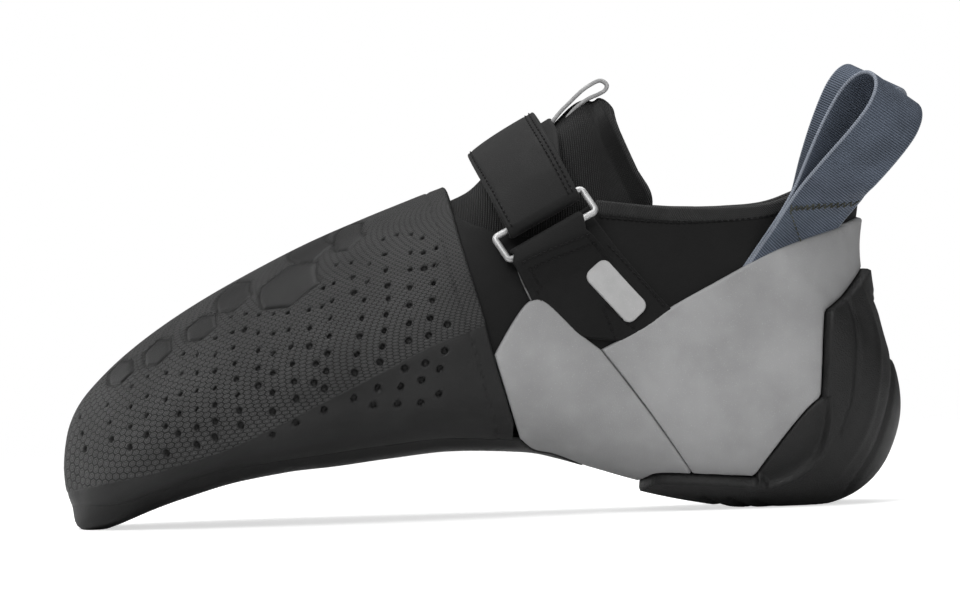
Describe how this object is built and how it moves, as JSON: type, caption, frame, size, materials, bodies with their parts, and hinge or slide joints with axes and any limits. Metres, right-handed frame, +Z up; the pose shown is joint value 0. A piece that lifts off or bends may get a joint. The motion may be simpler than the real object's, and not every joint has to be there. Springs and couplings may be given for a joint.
{
  "type": "climbing shoe",
  "caption": "Downturned left climbing shoe with a rubber toe patch, moulded heel cup, one strap through a wire ring, a padded tongue and webbing pull loops.",
  "frame": {"origin": "the middle of the heel's flat resting spot on the floor", "axes": "+X from the toe to the heel, +Z up, the outer side of the foot faces -Y"},
  "size_m": [0.2607, 0.0882, 0.1319],
  "materials": {
    "patch_rubber": "matt, embossed",
    "sole_rubber": "satin",
    "rand_rubber": "satin, smooth",
    "microfibre": "matt",
    "stretch_mesh": "ribbed knit",
    "insole_board": "felt",
    "webbing": "woven",
    "pale_trim": "woven",
    "badge_plate": "matt",
    "ring_metal": "satin"
  },
  "bodies": {
    "root": {"upper": "microfibre", "toe_patch": "patch_rubber", "outsole": "sole_rubber", "front_rand_outer": "rand_rubber", "front_rand_inner": "rand_rubber", "rear_rand": "rand_rubber", "heel_cup": "sole_rubber", "insole": "insole_board", "tongue": "stretch_mesh", "tongue_loop": "pale_trim", "strap": "microfibre", "ring": "ring_metal", "anchor": "microfibre", "badge": "badge_plate", "pull_loop_outer": "webbing", "pull_loop_inner": "webbing"}
  },
  "joints": []
}
